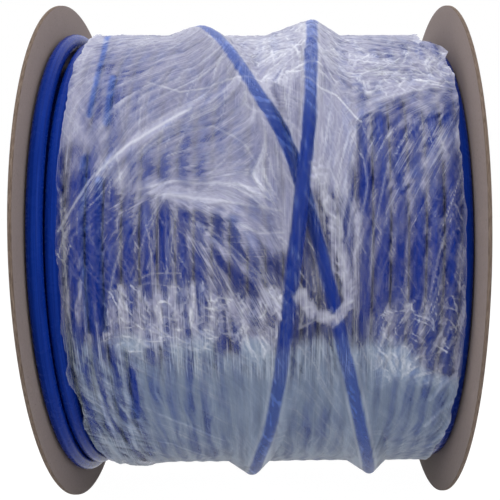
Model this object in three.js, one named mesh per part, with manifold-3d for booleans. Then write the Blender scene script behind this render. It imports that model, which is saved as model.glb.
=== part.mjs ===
// A bulk reel of thick plastic line: two round board flanges on a paper core barrel, the line wound
// in regular turns between them, its last two turns laid across the winding, and a clear film sleeve.
// Millimetres. X is the reel's axis, Z is up, and the origin is the middle of the axis.
// An angle round the reel is in degrees: 0 is the front (-Y), 90 the bottom, 180 the back, 270 the top.
import * as THREE from "three";
import { mergeVertices } from "three/addons/utils/BufferGeometryUtils.js";
import Module from "manifold-3d";

const wasm = await Module();
wasm.setup();

// ---- Driving dimensions ----
const FLANGE_D = 290; // board flange, outside diameter
const FLANGE_T = 2; // board flange, thickness
const FLANGE_SIDES = 96; // facets of the rim, one of them flat on the floor
const TRAVERSE = 214; // between the flanges' inner faces
const FIT = 0.3; // gap at every seat, where two pieces touch

const BARREL_D = 150; // paper core barrel, outside diameter
const BARREL_WALL = 6;
const PLUG_T = 15; // wooden plug in each end of the barrel
const BORE_D = 51; // spindle bore through the bushes
const BUSH_WALL = 3.5; // bush spigot, wall
const BUSH_SPIGOT_L = 22; // reach of the spigot inwards from the flange's outer face
const BUSH_COLLAR_D = 80; // bush collar on the flange's outer face
const BUSH_COLLAR_T = 2.5;
const BUSH_CHAMFER = 0.8;
const ARBOR_WALL = 4; // paper tube that joins the plugs
const CORE_SIDES = 60; // facets of the barrel, the plugs and the inner winding
const ARBOR_SIDES = 36; // facets of the arbor tube and the bushes
const PIN_SIDES = 8;

const STAPLES = 6; // per flange
const STAPLE_INSET = 12.7; // from the plug's rim in to the circle that the staples lie on
const STAPLE_CROWN_L = 12;
const STAPLE_WIRE = 1.2;
const STAPLE_LEG_L = 13; // below the crown
const PINS = 4; // per barrel end
const PIN_D = 1.8;
const PIN_L = 15;
const PIN_HEAD_D = 4;
const PIN_HEAD_T = 0.9;
const PIN_SINK = 0.3; // of the head below the barrel's surface

const LINE_D = 8; // the line itself
const TURNS = 24; // turns of the outer layer
const TURN_STEPS = 24; // steps in a turn
const TURN_SIDES = 6; // sides of the wound tube
const WINDING_D = 252; // over the outer layer
const WINDING_END_ANGLE = 100; // where the outer layer ends at the left flange
const WINDING_SIDE_GAP = 1; // between the outer layer and a flange

const TAIL_SIDES = 8;
const TAIL_STEPS = 80;
const TAIL_SAMPLES = 320; // points of its centre line that the film and the gap test use
const TAIL_POINT_ANGLE = 8.5; // between the curve's points along the route
const TAIL_LIFT = 0.8; // the tail's clearance over the turns below it, its facets included
const CROSSING_LIFT = 8.5; // the second crossing strand over the first one

const FILM_WALL = 0.8; // several wraps of thin film
const FILM_CLEARANCE = 0.7;
const FILM_SIDES = 48;
const FILM_BESIDE = 8; // steps from each edge to the nearer strand under the film
const FILM_BETWEEN = 6; // steps between the two strands
const FILM_LEAST_STEP = 1.5; // between those steps where the strands cross
const FILM_SLACK = 2.5; // how much higher the film lies over the top
const FILM_SLACK_ANGLE = 280;
const TENT_EDGE = 4.5; // half-width of a tent's flat top over a strand
const TENT_REACH = 6.5; // how far from the strand's centre line a point keeps the full height
const TENT_LEFT_SLOPE = 0.33; // how steeply the film falls away beside a strand
const TENT_RIGHT_SLOPE = 0.62;
const TENT_STEEPER = 0.35; // more at the bottom
const TENT_FROM = 178; // angle where the tail comes in under the film
const FILM_LEFT_X = -92; // mean edge at the left, which leaves two turns bare
const FILM_RIGHT_X = 101;
const FILM_EDGE_WAVE = 2.5;

// The tail's route, chosen by hand: [angle, x, strands up from the outer layer]. The angle runs on
// through two turns. The tail crosses the back, comes down the front, crosses the back again and
// comes down the front once more over its own first pass.
const TAIL_ROUTE = [
  [112, -102, 0.45], [120, -102, 0.85], [128, -101, 1], [150, -94, 1], [185, -79, 1],
  [225, -60, 1], [260, -43, 1], [282, -31, 1], [290, -25, 1], [300, -17, 1],
  [312, -6.5, 1], [321, 2.5, 1], [331, 12.5, 1], [338, 18.5, 1], [344, 23.3, 1], [350, 27.5, 1],
  [358, 32.8, 1], [366, 37.2, 1], [377, 43, 1], [389, 49.4, 1], [402, 55.2, 1],
  [415, 60.4, 1], [440, 67, 1], [470, 69.5, 1], [500, 68, 1], [540, 60.5, 1],
  [580, 50, 1], [620, 38, 1.15], [648, 31.4, 1.4], [667, 29.6, 1.45], [681, 28.4, 1.7],
  [692, 26.8, 1.97], [704, 23.6, 2], [716, 20, 1.97], [727, 16.8, 1.6], [743, 12.4, 1.2],
  [756, 8.2, 1.05], [775, 0, 1], [800, -7, 1], [830, -14, 1], [860, -20, 1],
];

// ---- Relations ----
const flangeR = FLANGE_D / 2;
const innerFace = TRAVERSE / 2;
const outerFace = innerFace + FLANGE_T;
const seatX = innerFace - FIT; // the barrel's, plugs' and arbor tube's ends
const barrelR = BARREL_D / 2;
const barrelBoreR = barrelR - BARREL_WALL;
const plugR = barrelBoreR - FIT;
const stapleR = plugR - STAPLE_INSET;
const pinTop = barrelR - PIN_SINK;
const boreR = BORE_D / 2;
const spigotR = boreR + BUSH_WALL;
const collarR = BUSH_COLLAR_D / 2;
const arborBoreR = spigotR + FIT;
const arborR = arborBoreR + ARBOR_WALL;
const lineR = LINE_D / 2;
const layerR = WINDING_D / 2 - lineR; // centre line of the outer layer
const layerStartX = innerFace - WINDING_SIDE_GAP - lineR;
const pitch = (2 * layerStartX) / TURNS;
const turnStep = 360 / TURN_STEPS;
const coreR = layerR * Math.cos(Math.PI / TURN_STEPS) - lineR - FIT; // clear of the facets' middles
const radians = THREE.MathUtils.degToRad;

// ---- Shared shapes ----
const onReel = (angle, x, r) =>
  new THREE.Vector3(x, -r * Math.cos(radians(angle)), -r * Math.sin(radians(angle)));

// A polygon with a flat side at the bottom, as a closed outline.
function polygon(sides, r, Kind = THREE.Path) {
  const outline = new Kind();
  for (let i = 0; i < sides; i++) {
    const a = ((i + 0.5) * 2 * Math.PI) / sides;
    if (i) outline.lineTo(r * Math.cos(a), r * Math.sin(a));
    else outline.moveTo(r * Math.cos(a), r * Math.sin(a));
  }
  outline.closePath();
  return outline;
}

// A flat ring across the reel's axis, from one x to another.
function ring(sides, outR, holeR, holeSides, fromX, toX) {
  const outline = polygon(sides, outR, THREE.Shape);
  outline.holes.push(polygon(holeSides, holeR));
  return new THREE.ExtrudeGeometry(outline, { depth: toX - fromX, bevelEnabled: false })
    .rotateX(Math.PI / 2)
    .rotateZ(Math.PI / 2)
    .translate(fromX, 0, 0);
}

function solid(geometry) {
  const bare = geometry.clone();
  bare.deleteAttribute("normal");
  bare.deleteAttribute("uv");
  const merged = mergeVertices(bare);
  return new wasm.Manifold(
    new wasm.Mesh({
      numProp: 3,
      vertProperties: merged.attributes.position.array,
      triVerts: new Uint32Array(merged.index.array),
    }),
  );
}

function geometryOf(body) {
  const mesh = body.getMesh();
  const geometry = new THREE.BufferGeometry();
  geometry.setAttribute("position", new THREE.BufferAttribute(mesh.vertProperties, 3));
  geometry.setIndex(new THREE.BufferAttribute(mesh.triVerts, 1));
  return geometry.toNonIndexed();
}

function cut(geometry, cutters) {
  const rest = cutters.reduce((body, c) => body.subtract(solid(c)), solid(geometry));
  return geometryOf(rest);
}

// A closed skin through rings of points, each ring with as many points, capped at both ends.
function skin(rings) {
  const sides = rings[0].length;
  const index = [];
  for (let i = 0; i + 1 < rings.length; i++) {
    for (let j = 0; j < sides; j++) {
      const a = i * sides + j;
      const b = i * sides + ((j + 1) % sides);
      index.push(a, b, a + sides, b, b + sides, a + sides);
    }
  }
  const last = (rings.length - 1) * sides;
  for (let j = 1; j + 1 < sides; j++) index.push(0, j + 1, j, last, last + j, last + j + 1);
  return indexed(rings.flat(), index);
}

function indexed(points, index) {
  const geometry = new THREE.BufferGeometry().setFromPoints(points);
  geometry.setIndex(index);
  geometry.computeVertexNormals();
  return geometry;
}

const material = (color, roughness, metalness = 0, opacity = 1) =>
  new THREE.MeshStandardMaterial({
    color, roughness, metalness, opacity, transparent: opacity < 1,
  });
const board = material(0x786a66, 0.9);
const kraft = material(0x9b7c5a, 0.9);
const fibreboard = material(0xa98a63, 0.85);
const bushPlastic = material(0x2b2c30, 0.45);
const blueLine = material(0x1c3596, 0.3);
const clearFilm = material(0xc9cbe0, 0.15, 0, 0.35);
const steel = material(0xa8a9ab, 0.35, 1);

const reel = new THREE.Group();

function add(name, geometry, finish) {
  const mesh = new THREE.Mesh(geometry, finish);
  mesh.name = name;
  reel.add(mesh);
}

// ---- Board flanges, with a hole for the bush and slots for the staples' legs ----
function stapleShape(clearance) {
  const leg = STAPLE_WIRE / 2 + clearance;
  const half = STAPLE_CROWN_L / 2;
  const crownTop = outerFace + FIT + STAPLE_WIRE;
  const legEnd = outerFace + FIT - STAPLE_LEG_L - clearance;
  const crownUnder = outerFace + FIT - clearance;
  const wire = new THREE.Shape();
  wire.moveTo(-half - leg, legEnd);
  wire.lineTo(-half + leg, legEnd);
  wire.lineTo(-half + leg, crownUnder);
  wire.lineTo(half - leg, crownUnder);
  wire.lineTo(half - leg, legEnd);
  wire.lineTo(half + leg, legEnd);
  wire.lineTo(half + leg, crownTop);
  wire.lineTo(-half - leg, crownTop);
  wire.closePath();
  // The shape's own X is along the crown, its Y along the reel's axis.
  return new THREE.ExtrudeGeometry(wire, { depth: 2 * leg, bevelEnabled: false })
    .translate(0, 0, stapleR - leg)
    .rotateZ(-Math.PI / 2);
}

const staplesRound = [...Array(STAPLES).keys()].map((i) => ((i + 0.5) * 2 * Math.PI) / STAPLES);
const pinsRound = [...Array(PINS).keys()].map((i) => (i * 2 * Math.PI) / PINS);

const flangeBody = cut(
  ring(FLANGE_SIDES, flangeR, spigotR + FIT, ARBOR_SIDES, innerFace, outerFace),
  staplesRound.map((a) => stapleShape(FIT).rotateX(a)),
);

// ---- Wooden plugs in the barrel's ends, with the staples' and pins' holes ----
function pinShape(clearance, headTop) {
  const shank = PIN_D / 2 + clearance;
  const head = PIN_HEAD_D / 2 + clearance;
  const headUnder = pinTop - PIN_HEAD_T - clearance;
  const tip = pinTop - PIN_L - clearance;
  const profile = [
    [0, tip], [shank, tip + shank], [shank, headUnder], [head, headUnder], [head, headTop], [0, headTop],
  ].map(([r, y]) => new THREE.Vector2(r, y));
  return new THREE.LatheGeometry(profile, PIN_SIDES)
    .rotateX(Math.PI / 2)
    .translate(seatX - PLUG_T / 2, 0, 0);
}

const pinHoles = pinsRound.map((a) => pinShape(FIT, barrelR + FIT).rotateX(a));
const plugBody = cut(ring(CORE_SIDES, plugR, arborR + FIT, ARBOR_SIDES, seatX - PLUG_T, seatX), [
  ...staplesRound.map((a) => stapleShape(FIT).rotateX(a)),
  ...pinHoles,
]);

// ---- Bushes that line the spindle bore and hold the flanges to the arbor tube ----
const bushProfile = [
  [boreR, outerFace - BUSH_SPIGOT_L],
  [spigotR - BUSH_CHAMFER, outerFace - BUSH_SPIGOT_L],
  [spigotR, outerFace - BUSH_SPIGOT_L + BUSH_CHAMFER],
  [spigotR, outerFace + FIT],
  [collarR, outerFace + FIT],
  [collarR, outerFace + FIT + BUSH_COLLAR_T - BUSH_CHAMFER],
  [collarR - BUSH_CHAMFER, outerFace + FIT + BUSH_COLLAR_T],
  [boreR + BUSH_CHAMFER, outerFace + FIT + BUSH_COLLAR_T],
  [boreR, outerFace + FIT + BUSH_COLLAR_T - BUSH_CHAMFER],
  [boreR, outerFace - BUSH_SPIGOT_L],
].map(([r, x]) => new THREE.Vector2(r, x));
const bushBody = new THREE.LatheGeometry(bushProfile, ARBOR_SIDES).rotateZ(-Math.PI / 2);

// The right end is the left end turned half round the upright axis.
for (const [side, turn] of [["right", 0], ["left", Math.PI]]) {
  const placed = (geometry) => geometry.clone().rotateZ(turn);
  add(side + "_flange", placed(flangeBody), board);
  add(side + "_core_plug", placed(plugBody), fibreboard);
  add(side + "_arbor_bush", placed(bushBody), bushPlastic);
  staplesRound.forEach((a, i) =>
    add(side + "_staple_" + (i + 1), placed(stapleShape(0).rotateX(a)), steel),
  );
  pinsRound.forEach((a, i) =>
    add(side + "_barrel_pin_" + (i + 1), placed(pinShape(0, pinTop).rotateX(a)), steel),
  );
}

// ---- Paper core barrel, with sunk seats for the pins' heads, and the arbor tube ----
add(
  "core_barrel",
  cut(ring(CORE_SIDES, barrelR, barrelBoreR, CORE_SIDES, -seatX, seatX), [
    ...pinHoles,
    ...pinHoles.map((hole) => hole.clone().rotateZ(Math.PI)),
  ]),
  kraft,
);
add("arbor_tube", ring(ARBOR_SIDES, arborR, arborBoreR, ARBOR_SIDES, -seatX, seatX), kraft);

// ---- The line: its inner layers as a plain core, its outer layer turn by turn ----
add("inner_winding", ring(CORE_SIDES, coreR, barrelR + FIT, CORE_SIDES, -seatX, seatX), blueLine);

// The layer winds leftwards from the right flange, and runs straight for one diameter at each end.
const windingAngles = [...Array(TURNS * TURN_STEPS + 1).keys()].map(
  (i) => WINDING_END_ANGLE - turnStep * (TURNS * TURN_STEPS - i),
);
const turnX = (angle) => -layerStartX + ((WINDING_END_ANGLE - angle) / 360) * pitch;

function windingPoint(angle, ahead) {
  const along = onReel(angle + 90, 0, 1).setX(-pitch / (2 * Math.PI * layerR)).normalize();
  return onReel(angle, turnX(angle), layerR).addScaledVector(along, ahead);
}

function windingSection(angle, ahead = 0) {
  const centre = windingPoint(angle, ahead);
  const up = onReel(angle, 0, 1);
  const side = new THREE.Vector3(-1, 0, 0);
  return [...Array(TURN_SIDES).keys()].map((k) => {
    const a = (k * 2 * Math.PI) / TURN_SIDES;
    return centre
      .clone()
      .addScaledVector(up, lineR * Math.cos(a))
      .addScaledVector(side, lineR * Math.sin(a));
  });
}

const windingRings = [
  windingSection(windingAngles[0], -LINE_D),
  ...windingAngles.map((a) => windingSection(a)),
  windingSection(WINDING_END_ANGLE, LINE_D),
];
add("outer_winding", skin(windingRings), blueLine);

// ---- The tail, which starts where the outer layer ends ----
function routeAt(angle) {
  let i = 1;
  while (i < TAIL_ROUTE.length - 1 && TAIL_ROUTE[i][0] < angle) i++;
  const [a0, x0, up0] = TAIL_ROUTE[i - 1];
  const [a1, x1, up1] = TAIL_ROUTE[i];
  const t = (angle - a0) / (a1 - a0);
  return [x0 + t * (x1 - x0), up0 + t * (up1 - up0)];
}

function tailR(up) {
  const first = Math.min(up, 1);
  return layerR + first * (LINE_D + TAIL_LIFT) + (up - first) * CROSSING_LIFT;
}

const tailPoints = [
  windingPoint(WINDING_END_ANGLE, LINE_D + FIT),
  windingPoint(WINDING_END_ANGLE, 2 * LINE_D + FIT),
];
const routeEnd = TAIL_ROUTE[TAIL_ROUTE.length - 1][0];
for (let angle = TAIL_ROUTE[0][0]; angle <= routeEnd; angle += TAIL_POINT_ANGLE) {
  const [x, up] = routeAt(angle);
  tailPoints.push(onReel(angle, x, tailR(up)));
}
const tailCurve = new THREE.CatmullRomCurve3(tailPoints);
const section = polygon(TAIL_SIDES, lineR, THREE.Shape);
add(
  "line_tail",
  new THREE.ExtrudeGeometry(section, { steps: TAIL_STEPS, extrudePath: tailCurve }),
  blueLine,
);

// ---- The clear film: a thin sleeve over the winding, tented over the tail ----
const tailLine = tailCurve.getSpacedPoints(TAIL_SAMPLES);
const tailSamples = tailLine.map((p) => ({
  x: p.x,
  r: Math.hypot(p.y, p.z),
  angle: Math.atan2(-p.z, -p.y),
}));
const filmBaseR = layerR + lineR + FILM_CLEARANCE;
const filmStep = 360 / FILM_SIDES;

function filmInnerR(x, angle) {
  const slack = Math.max(0, Math.cos(angle - radians(FILM_SLACK_ANGLE)));
  const steeper = TENT_STEEPER * Math.max(0, Math.sin(angle));
  let r = filmBaseR + FILM_SLACK * slack ** 2;
  for (const s of tailSamples) {
    const round = Math.atan2(Math.sin(angle - s.angle), Math.cos(angle - s.angle)) * s.r;
    const away = Math.max(0, Math.hypot(x - s.x, round) - TENT_REACH);
    const slope = steeper + (x > s.x ? TENT_RIGHT_SLOPE : TENT_LEFT_SLOPE);
    r = Math.max(r, s.r + lineR + FILM_CLEARANCE - slope * away);
  }
  return r / Math.cos(Math.PI / FILM_SIDES);
}

// Where the two strands lie under the film at an angle. Over the stretch with no left strand, from the
// tail's end to where it comes in, the left place runs straight from the one to the other.
function strandsUnder(angle) {
  const lastTent = routeEnd + filmStep;
  const passes = [angle, angle + 360, angle + 720].filter((a) => a >= TENT_FROM && a <= lastTent);
  const places = passes.map((a) => routeAt(a)[0]);
  if (places.length < 2) {
    const share = (angle - (lastTent % 360)) / (TENT_FROM - (lastTent % 360));
    places.push(routeAt(lastTent)[0] * (1 - share) + routeAt(TENT_FROM)[0] * share);
  }
  const middle = (places[0] + places[1]) / 2;
  const half = Math.abs(places[0] - places[1]) / 2;
  const apart = Math.max(half, TENT_EDGE + (FILM_BETWEEN * FILM_LEAST_STEP) / 2);
  return [middle - apart, middle + apart];
}

// The film's points across the reel at an angle, the same number at every angle: a step over each
// strand and even steps beside them, so that a tent's top follows its strand.
function filmPlaces(angle, leftEdge, rightEdge) {
  const [left, right] = strandsUnder(angle);
  const stretches = [
    [leftEdge, left - TENT_EDGE, FILM_BESIDE],
    [left - TENT_EDGE, left + TENT_EDGE, 1],
    [left + TENT_EDGE, right - TENT_EDGE, FILM_BETWEEN],
    [right - TENT_EDGE, right + TENT_EDGE, 1],
    [right + TENT_EDGE, rightEdge, FILM_BESIDE],
  ];
  const places = stretches.flatMap(([from, to, steps]) =>
    [...Array(steps).keys()].map((i) => from + ((to - from) * i) / steps),
  );
  return [...places, rightEdge];
}

const filmRows = [...Array(FILM_SIDES).keys()].map((j) => {
  const degrees = (j + 0.5) * filmStep;
  const angle = radians(degrees);
  const leftEdge = FILM_LEFT_X + FILM_EDGE_WAVE * Math.sin(3 * angle);
  const rightEdge = FILM_RIGHT_X + FILM_EDGE_WAVE * Math.sin(2 * angle);
  return filmPlaces(degrees, leftEdge, rightEdge).map((x) => {
    const r = filmInnerR(x, angle);
    return { inside: onReel(degrees, x, r), outside: onReel(degrees, x, r + FILM_WALL) };
  });
});
const filmRings = filmRows[0].map((_, i) => ({
  inside: filmRows.map((row) => row[i].inside),
  outside: filmRows.map((row) => row[i].outside),
}));
// Out along the inside, back along the outside: a closed loop of rings, like a long doughnut.
const filmLoop = [...filmRings.map((f) => f.outside), ...filmRings.map((f) => f.inside).reverse()];
const filmIndex = [];
for (let i = 0; i < filmLoop.length; i++) {
  for (let j = 0; j < FILM_SIDES; j++) {
    const next = ((i + 1) % filmLoop.length) * FILM_SIDES;
    const a = i * FILM_SIDES + j;
    const b = i * FILM_SIDES + ((j + 1) % FILM_SIDES);
    const c = next + j;
    const d = next + ((j + 1) % FILM_SIDES);
    // Both walls fold along the same diagonals, so they stay apart on steep tents.
    if (i < filmRings.length) filmIndex.push(a, b, c, b, d, c);
    else filmIndex.push(a, b, d, a, d, c);
  }
}
add("film_wrap", indexed(filmLoop.flat(), filmIndex), clearFilm);

// ---- Least gaps of the wound line, measured on points of its centre line ----
// Neighbours along the line are left out, up to a quarter of a turn away.
function leastGap(points, skip) {
  let least = Infinity;
  points.forEach((p, i) =>
    points.slice(i + skip).forEach((q) => {
      least = Math.min(least, p.distanceTo(q));
    }),
  );
  return (least - LINE_D).toFixed(2) + " mm";
}
const layerLine = windingAngles.map((a) => windingPoint(a, 0));
const tailSamplesPerTurn = (TAIL_SAMPLES * 360) / (routeEnd - WINDING_END_ANGLE);
console.log("outer layer, least gap to itself " + leastGap(layerLine, TURN_STEPS / 4));
console.log("tail, least gap to itself " + leastGap(tailLine, Math.round(tailSamplesPerTurn / 4)));

export default reel;
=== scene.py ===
import math

import bpy
import numpy as np
from mathutils import Matrix


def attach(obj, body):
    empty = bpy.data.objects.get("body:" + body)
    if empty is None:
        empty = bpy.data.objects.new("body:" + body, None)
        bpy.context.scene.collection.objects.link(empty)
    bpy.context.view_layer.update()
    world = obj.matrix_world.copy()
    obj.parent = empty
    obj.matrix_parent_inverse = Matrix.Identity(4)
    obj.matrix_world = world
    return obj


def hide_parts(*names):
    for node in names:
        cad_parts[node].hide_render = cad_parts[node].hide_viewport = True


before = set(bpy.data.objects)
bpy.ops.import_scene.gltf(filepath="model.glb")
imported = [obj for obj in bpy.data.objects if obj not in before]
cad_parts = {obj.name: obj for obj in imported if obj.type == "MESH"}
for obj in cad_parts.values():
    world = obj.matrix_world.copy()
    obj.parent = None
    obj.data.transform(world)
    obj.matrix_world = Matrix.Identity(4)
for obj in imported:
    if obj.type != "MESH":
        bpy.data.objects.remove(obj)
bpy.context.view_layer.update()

# ---- Camera, floor, lamps ----
# The reel stands on its two flange rims on a white table, in front of white, in a soft studio light:
# a wide lamp above, and narrow ones beside the camera that put bright lines on film and strand.
CAMERA_AT = (0.0129, -0.5221, 0.0249)
CAMERA_YAW, CAMERA_PITCH, CAMERA_ROLL = -1.09, -7.91, 0.31
CAMERA_LENS, CAMERA_SENSOR = 60.18, 36  # in mm
CAMERA_SHIFT = (-0.0928, 0.162)
FLOOR_Z = -0.14492
FLOOR_HALF = 30
FLOOR_SHADE = (0.86, 0.86, 0.86, 1)
FLOOR_GLOW = 1.1
FLOOR_SHADOW = 0.1  # share of the floor's look that takes light and shadow
LAMPS = [
    # name, place, width, height, watts, shade
    ("lamp_above", (-0.15, -0.35, 1.0), 0.9, 0.6, 7.0, (1.0, 0.99, 0.98)),
    ("lamp_left", (-0.75, -0.85, 0.35), 0.12, 0.8, 2.2, (0.97, 0.98, 1.0)),
    ("lamp_right", (0.8, -0.8, 0.45), 0.12, 0.8, 2.6, (0.97, 0.98, 1.0)),
    ("lamp_back", (0.2, 0.9, 0.8), 0.9, 0.5, 5.0, (1.0, 1.0, 1.0)),
]
SKY, SKY_SHADE = 0.5, (0.97, 0.98, 1, 1)  # the world's light on the object
WHITE = (1, 1, 1, 1)

scene = bpy.context.scene
scene.view_settings.view_transform = "Standard"
camera_data = bpy.data.cameras.new("camera")
camera_data.lens = CAMERA_LENS
camera_data.sensor_width = CAMERA_SENSOR
camera_data.shift_x, camera_data.shift_y = CAMERA_SHIFT
camera = bpy.data.objects.new("camera", camera_data)
camera.matrix_world = (
    Matrix.Translation(CAMERA_AT)
    @ Matrix.Rotation(math.radians(CAMERA_YAW), 4, "Z")
    @ Matrix.Rotation(math.radians(CAMERA_PITCH), 4, "X")
    @ Matrix.Rotation(math.radians(CAMERA_ROLL), 4, "Y")
    @ Matrix.Rotation(math.pi / 2, 4, "X")
)
scene.collection.objects.link(camera)
scene.camera = camera


def join(socket, value):
    """Links a socket to another one, or to a node's first output, or sets it to a plain value."""
    if isinstance(value, bpy.types.Node):
        value = value.outputs[0]
    if isinstance(value, bpy.types.NodeSocket):
        socket.id_data.links.new(value, socket)
    else:
        socket.default_value = value


def add_node(kind, **inputs):
    """Adds a shader node to the owner. An input is named, with _ for a space, or numbered, as in _0."""
    made = owner.node_tree.nodes.new("ShaderNode" + kind)
    for name, value in inputs.items():
        if name.startswith("set_"):
            setattr(made, name[4:], value)
            continue
        number = name[1:]
        join(made.inputs[int(number) if number.isdigit() else name.replace("_", " ")], value)
    return made


def shaded_by_nodes(made):
    """Makes a material or the world the owner of the shader nodes that are added after it."""
    global owner
    owner = made
    owner.use_nodes = True
    owner.node_tree.nodes.clear()
    return owner


def new_material(name):
    return shaded_by_nodes(bpy.data.materials.new(name))


def maths(operation, a, b=0.0, c=0.0):
    return add_node("Math", set_operation=operation, _0=a, _1=b, _2=c)


def times(a, b):
    return maths("MULTIPLY", a, b)


def add_piece(name, mesh):
    mesh.polygons.foreach_set("use_smooth", [True] * len(mesh.polygons))
    piece = bpy.data.objects.new(name, mesh)
    scene.collection.objects.link(piece)
    return piece


def add_mesh(name, points, faces, material):
    mesh = bpy.data.meshes.new(name)
    mesh.from_pydata([tuple(p) for p in points], [], [tuple(f) for f in faces])
    mesh.materials.append(material)
    return add_piece(name, mesh)


def straight_to_the_lens():
    """1 for rays from the camera, off gloss and through glass, 0 for light on the object."""
    path = add_node("LightPath").outputs
    seen = maths("MAXIMUM", path["Is Camera Ray"], path["Is Glossy Ray"])
    return maths("MAXIMUM", seen, path["Is Transmission Ray"])


table_white = new_material("table_white")
lit = add_node("BsdfDiffuse", Color=FLOOR_SHADE)
plain = add_node("Emission", Color=WHITE, Strength=FLOOR_GLOW)
both = add_node("MixShader", _0=times(straight_to_the_lens(), 1 - FLOOR_SHADOW), _1=lit, _2=plain)
add_node("OutputMaterial", Surface=both)
corners = [(x * FLOOR_HALF, y * FLOOR_HALF, FLOOR_Z) for x, y in [(-1, -1), (1, -1), (1, 1), (-1, 1)]]
floor = add_mesh("floor", corners, [(0, 1, 2, 3)], table_white)

scene.world = shaded_by_nodes(bpy.data.worlds.new("studio"))
sky = add_node("Background", Color=SKY_SHADE, Strength=SKY)
backdrop = add_node("Background", Color=WHITE, Strength=1)
both = add_node("MixShader", _0=straight_to_the_lens(), _1=sky, _2=backdrop)
add_node("OutputWorld", Surface=both)

for name, place, width, height, watts, shade in LAMPS:
    lamp_data = bpy.data.lights.new(name, "AREA")
    lamp_data.shape = "RECTANGLE"
    lamp_data.size = width
    lamp_data.size_y = height
    lamp_data.energy = watts
    lamp_data.color = shade
    lamp = bpy.data.objects.new(name, lamp_data)
    lamp.visible_glossy = name in ("lamp_left", "lamp_right")
    moved = Matrix.Translation(place)
    lamp.matrix_world = moved @ moved.translation.to_track_quat("Z", "Y").to_matrix().to_4x4()
    scene.collection.objects.link(lamp)

# ---- Flanges ----
# Two discs die-cut from 2 mm grey-brown chipboard made of waste paper, with a hole for the bush.
# The knife leaves the edge slightly rounded, and shows the board's layers there.
FLANGE_R = 0.14492
FLANGE_INNER_X = 0.107
FLANGE_OUTER_X = 0.109
FLANGE_HOLE_R = 0.0293
FLANGE_SEGMENTS = 360
EDGE_ROUND = 0.0004


def on_reel(angle, x, r):
    """A point round the reel's axis: angle 0 faces the camera, 90 is at the bottom."""
    turn = np.radians(angle)
    return np.stack(np.broadcast_arrays(x, -r * np.cos(turn), -r * np.sin(turn)), axis=-1)


def turned(name, profile, segments, material):
    """Turns a closed outline of (x, r) round the axis."""
    outline = np.array(profile)
    angles = np.arange(segments) * 360 / segments
    points = on_reel(angles[:, None], outline[None, :, 0], outline[None, :, 1])
    count = len(outline)
    faces = []
    for i in range(segments):
        for j in range(count):
            here, after = i * count, (i + 1) % segments * count
            beside = (j + 1) % count
            faces.append((here + j, here + beside, after + beside, after + j))
    return add_mesh(name, points.reshape(-1, 3), faces, material)


def rounded(corners, steps=3):
    """An outline of (x, r, round) with each corner turned into an arc."""
    made = []
    for i, (x, r, radius) in enumerate(corners):
        here = np.array([x, r])
        before = np.array(corners[i - 1][:2])
        after = np.array(corners[(i + 1) % len(corners)][:2])
        if radius == 0:
            made.append(tuple(here))
            continue
        start = here + radius * (before - here) / np.linalg.norm(before - here)
        end = here + radius * (after - here) / np.linalg.norm(after - here)
        for t in np.linspace(0, 1, steps + 1):
            made.append(tuple((1 - t) ** 2 * start + 2 * t * (1 - t) * here + t * t * end))
    return made


def where_on_piece():
    return add_node("TexCoord").outputs["Object"]


def noise(place, scale, detail=3.0, roughness=0.5, distortion=0.0):
    made = add_node("TexNoise", Vector=place, Scale=scale, Detail=detail, Roughness=roughness)
    join(made.inputs["Distortion"], distortion)
    return made


def spread(value, low, high, to_low=0.0, to_high=1.0):
    """Maps low..high to to_low..to_high, and holds it there outside."""
    return add_node("MapRange", Value=value, From_Min=low, From_Max=high, To_Min=to_low, To_Max=to_high)


def blend_of(share, first, second):
    """A colour between two others."""
    return add_node("Mix", set_data_type="RGBA", _0=share, _6=first, _7=second).outputs[2]


def plus(a, b):
    return maths("ADD", a, b)


def stained(shade, stains):
    """Lays colours over a shade, each by a value, the range in which it sets in, and its share."""
    for value, low, high, most, stain in stains:
        shade = blend_of(spread(value, low, high, 0, most), shade, stain)
    return shade


def bumped(height, distance, strength=1.0):
    return add_node("Bump", Height=height, Distance=distance, Strength=strength)


def surfaced(shade, roughness, height, distance, strength=1.0, shine=0.5):
    """Ends a material with its surface, which height raises a little."""
    normal = bumped(height, distance, strength)
    look = add_node("BsdfPrincipled", Base_Color=shade, Roughness=roughness, Normal=normal)
    look.inputs["Specular IOR Level"].default_value = shine
    add_node("OutputMaterial", Surface=look)
    return look


def vector_maths(operation, a, output=0, **inputs):
    return add_node("VectorMath", set_operation=operation, _0=a, **inputs).outputs[output]


def from_axis(place):
    """The distance from the reel's axis."""
    parts = add_node("SeparateXYZ", _0=place).outputs
    return vector_maths("LENGTH", add_node("CombineXYZ", _1=parts[1], _2=parts[2]), "Value")


grey_board = new_material("grey_board")
place = where_on_piece()
pulp = noise(place, 1500, 4, 0.7)
fibres = noise(place, 380, 6, 0.75, 2.5)
clouds = noise(place, 28, 4, 0.6)
specks = noise(place, 900, 2, 0.5)
layered = add_node("Mapping", Vector=place, Scale=(14, 1, 1))
plies = noise(layered, 260, 5)
ply_shade = stained((0.095, 0.066, 0.05, 1), [(plies, 0.35, 0.65, 1, (0.2, 0.15, 0.12, 1))])
shade = stained((0.24, 0.19, 0.168, 1), [
    (fibres, 0.3, 0.7, 1, (0.335, 0.272, 0.245, 1)),
    (clouds, 0.35, 0.7, 0.45, (0.262, 0.212, 0.194, 1)),
    (specks, 0.68, 0.74, 0.6, (0.09, 0.07, 0.06, 1)),
    (pulp, 0.66, 0.74, 0.5, (0.42, 0.38, 0.34, 1)),
])
at_rim = spread(from_axis(place), FLANGE_R - EDGE_ROUND, FLANGE_R - 0.0001)
shade = blend_of(at_rim, shade, ply_shade)
grain = plus(times(fibres, 0.6), pulp)
dullness = spread(fibres, 0.3, 0.7, 0.72, 0.92)
surfaced(shade, dullness, grain, 0.00012, 0.6, 0.25)

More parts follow.
